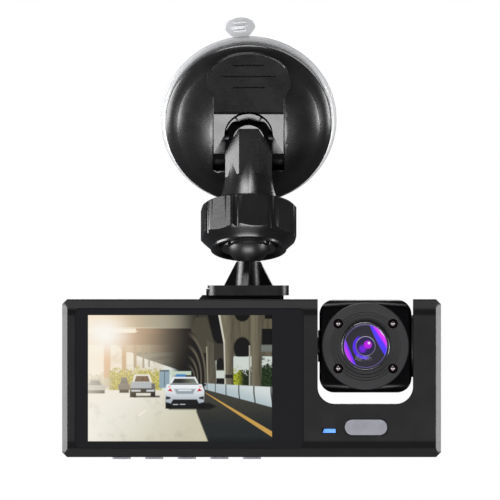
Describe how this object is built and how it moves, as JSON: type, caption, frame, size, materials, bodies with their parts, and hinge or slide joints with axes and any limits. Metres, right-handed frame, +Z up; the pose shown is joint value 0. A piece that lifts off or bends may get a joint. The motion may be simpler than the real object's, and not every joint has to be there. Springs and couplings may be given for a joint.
{
  "type": "dash camera",
  "caption": "Windshield dash camera with a screen and a tilting cabin camera in a slot, hung from a ball-jointed arm on a lever suction cup.",
  "frame": {"origin": "middle of the suction pad's sealing plane, where it meets the windshield", "axes": "+X to the driver's right, +Y forward to the windshield, +Z up; the screen and the cabin lens face -Y"},
  "size_m": [0.108, 0.0432, 0.1275],
  "materials": {
    "pad_clear": "clear soft vinyl, frosted by its own thickness",
    "mount_black": "satin moulded black nylon",
    "lever_black": "satin moulded black nylon, sharp highlights",
    "nut_black": "satin moulded black nylon",
    "seat_nylon": "natural nylon",
    "foot_black": "fine textured black plastic",
    "bright_steel": "bright plated steel",
    "black_screw": "black oxide steel",
    "case_front_black": "satin black ABS with a fine spark grain",
    "case_rear_black": "matt black ABS with a spark grain",
    "window_glass": "clear panel printed black round the picture",
    "display": "lit colour panel",
    "ribbon_amber": "amber polyimide film",
    "board_green": "green solder mask",
    "chip_black": "black moulded epoxy",
    "cell_foil": "heat-sealed foil pouch",
    "contact_gold": "gold plated can",
    "switch_grey": "grey switch body",
    "button_silver": "satin silver paint",
    "light_blue": "lit blue light guide",
    "pod_gloss_black": "polished black ABS",
    "ring_black": "satin black, turned steps",
    "barrel_metal": "dark anodised aluminium",
    "lens_glass": "coated glass, violet and blue reflections",
    "lens_violet": "coated inner element",
    "led_dark": "smoked infrared LED",
    "pivot_white": "white acetal",
    "lead_black": "black sheathed lead"
  },
  "bodies": {
    "cup_base": {"suction_pad": "pad_clear", "cup_housing": "mount_black"},
    "camera": {"mount_rail": "case_rear_black", "front_bezel": "case_front_black", "rear_cover": "case_rear_black", "screen_window": "window_glass", "screen_panel": "display", "screen_tray": "bright_steel", "screen_ribbon": "ribbon_amber", "main_board": "board_green", "board_chips": "chip_black", "board_screws": "bright_steel", "case_screws": "black_screw", "battery": "cell_foil", "speaker": "chip_black", "microphone": "contact_gold", "front_lens_bezel": "ring_black", "front_lens_barrel": "barrel_metal", "front_lens_glass": "lens_glass", "front_sensor_board": "board_green", "card_socket": "bright_steel", "power_socket": "bright_steel", "video_socket": "chip_black", "button_switches": "switch_grey", "power_switch": "switch_grey", "status_light": "light_blue"},
    "pull_stem": {"pad_stem": "bright_steel", "lever_pin": "black_screw"},
    "lever": {"cam_lever": "lever_black"},
    "nut": {"lock_nut": "nut_black"},
    "seat": {"ball_seat": "seat_nylon"},
    "ball": {"stud_ball": "foot_black"},
    "foot": {"stud_foot": "foot_black"},
    "power_key": {"power_button": "button_silver"},
    "card": {"memory_card": "chip_black"},
    "cabin_pod": {"cabin_front_shell": "pod_gloss_black", "cabin_rear_shell": "pod_gloss_black", "cabin_face_ring": "ring_black", "cabin_lens_barrel": "barrel_metal", "cabin_lens_glass": "lens_glass", "cabin_inner_lens": "lens_violet", "infrared_leds": "led_dark", "infrared_board": "board_green", "cabin_sensor_board": "board_green", "cabin_pivot_left": "pivot_white", "cabin_pivot_right": "ring_black", "pivot_washer": "bright_steel", "pivot_screw": "bright_steel", "cabin_screws": "black_screw", "cabin_lead": "lead_black"},
    "menu_1": {"menu_button_1": "button_silver"},
    "menu_2": {"menu_button_2": "button_silver"},
    "menu_3": {"menu_button_3": "button_silver"},
    "menu_4": {"menu_button_4": "button_silver"},
    "menu_5": {"menu_button_5": "button_silver"}
  },
  "joints": [
    {"name": "stem_pull", "type": "slide", "parent": "cup_base", "child": "pull_stem", "axis": [0, -0.9455, -0.3256], "range_m": [-0.0026, 0], "deforming": ["suction_pad"]},
    {"name": "lever_turn", "type": "hinge", "parent": "pull_stem", "child": "lever", "pos_m": [0, -0.01513, -0.00521], "axis": [1, 0, 0], "range_deg": [0, 70]},
    {"name": "nut_turn", "type": "hinge", "parent": "cup_base", "child": "nut", "pos_m": [0, -0.02244, -0.03546], "axis": [0, 0.309, 0.9511], "range_deg": [0, 270]},
    {"name": "ball_swing", "type": "hinge", "parent": "cup_base", "child": "seat", "pos_m": [0, -0.02244, -0.03546], "axis": [0, 0.309, 0.9511], "continuous": true},
    {"name": "ball_tilt", "type": "hinge", "parent": "seat", "child": "ball", "pos_m": [0, -0.02244, -0.03546], "axis": [1, 0, 0], "range_deg": [-53, 17]},
    {"name": "stud_pan", "type": "hinge", "parent": "ball", "child": "foot", "pos_m": [0, -0.02244, -0.03546], "axis": [0, 0, 1], "continuous": true},
    {"name": "foot_slide", "type": "slide", "parent": "foot", "child": "camera", "axis": [-1, 0, 0], "range_m": [0, 0.028]},
    {"name": "pod_tilt", "type": "hinge", "parent": "camera", "child": "cabin_pod", "pos_m": [0.03335, -0.02244, -0.065], "axis": [1, 0, 0], "range_deg": [-90, 90]},
    {"name": "power_press", "type": "slide", "parent": "camera", "child": "power_key", "axis": [0, 1, 0], "range_m": [0, 0.0004], "stiffness_N_per_m": 500, "springref_m": -0.0004},
    {"name": "card_slide", "type": "slide", "parent": "camera", "child": "card", "axis": [-1, 0, 0], "range_m": [0, 0.012]},
    {"name": "menu_press_1", "type": "slide", "parent": "camera", "child": "menu_1", "axis": [0, 0, 1], "range_m": [0, 0.0004], "stiffness_N_per_m": 500, "springref_m": -0.0004},
    {"name": "menu_press_2", "type": "slide", "parent": "camera", "child": "menu_2", "axis": [0, 0, 1], "range_m": [0, 0.0004], "stiffness_N_per_m": 500, "springref_m": -0.0004},
    {"name": "menu_press_3", "type": "slide", "parent": "camera", "child": "menu_3", "axis": [0, 0, 1], "range_m": [0, 0.0004], "stiffness_N_per_m": 500, "springref_m": -0.0004},
    {"name": "menu_press_4", "type": "slide", "parent": "camera", "child": "menu_4", "axis": [0, 0, 1], "range_m": [0, 0.0004], "stiffness_N_per_m": 500, "springref_m": -0.0004},
    {"name": "menu_press_5", "type": "slide", "parent": "camera", "child": "menu_5", "axis": [0, 0, 1], "range_m": [0, 0.0004], "stiffness_N_per_m": 500, "springref_m": -0.0004}
  ],
  "couplings": [
    {"joint": "stem_pull", "follows": "lever_turn", "m_per_rad": -0.0020463}
  ]
}
